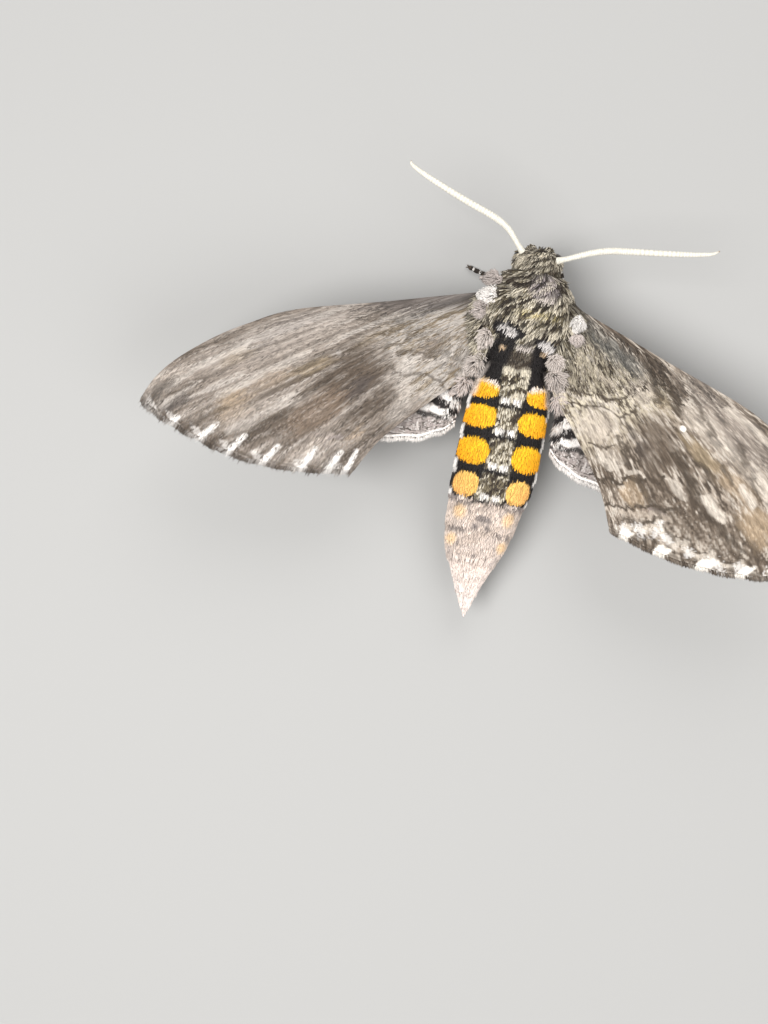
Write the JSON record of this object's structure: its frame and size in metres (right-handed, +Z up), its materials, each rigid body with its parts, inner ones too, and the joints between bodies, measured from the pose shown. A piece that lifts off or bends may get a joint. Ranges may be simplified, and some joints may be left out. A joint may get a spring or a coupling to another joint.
{
  "type": "carolina sphinx moth",
  "caption": "Life-size still hawk moth, perched with long forewings spread back over short hindwings, a tapering orange-spotted abdomen, ringed legs and pale feelers.",
  "frame": {"origin": "on the floor under the middle of the moth's box, between the wing tips", "axes": "+Y towards the head, +X towards the moth's right wing tip, +Z up from the floor that its feet stand on"},
  "size_m": [0.1042, 0.0644, 0.0181],
  "materials": {
    "coat": "matt streaked olive, cream and dark brown hair-like scales",
    "abdomen": "matt short hair, grey-brown above with orange spots, black bars and white tufts, pale at the tip",
    "forewing": "matt scales, grey-brown with pale streaks, dark zigzag lines and a white-checked fringe",
    "hindwing": "matt scales, white and grey with black bands",
    "feeler": "matt cream-white, fine crossing rings",
    "eye": "glossy dark brown, finely faceted",
    "leg": "short dark scales, ringed with white on the feet",
    "tongue": "satin red-brown, finely ringed"
  },
  "bodies": {
    "root": {"head": "coat", "collar": "coat", "thorax": "coat", "tegula_left": "coat", "tegula_right": "coat", "palp_left": "coat", "palp_right": "coat", "proboscis": "tongue", "eye_left": "eye", "eye_right": "eye", "antenna_left": "feeler", "antenna_right": "feeler", "abdomen_1": "abdomen", "abdomen_2": "abdomen", "abdomen_3": "abdomen", "abdomen_4": "abdomen", "abdomen_5": "abdomen", "abdomen_6": "abdomen", "abdomen_7": "abdomen", "abdomen_tip": "abdomen", "forewing_left": "forewing", "forewing_right": "forewing", "hindwing_left": "hindwing", "hindwing_right": "hindwing", "femur_fore_left": "leg", "tibia_fore_left": "leg", "tarsus_fore_left": "leg", "femur_fore_right": "leg", "tibia_fore_right": "leg", "tarsus_fore_right": "leg", "femur_mid_left": "leg", "tibia_mid_left": "leg", "tarsus_mid_left": "leg", "femur_mid_right": "leg", "tibia_mid_right": "leg", "tarsus_mid_right": "leg", "femur_hind_left": "leg", "tibia_hind_left": "leg", "tarsus_hind_left": "leg", "femur_hind_right": "leg", "tibia_hind_right": "leg", "tarsus_hind_right": "leg"}
  },
  "joints": []
}
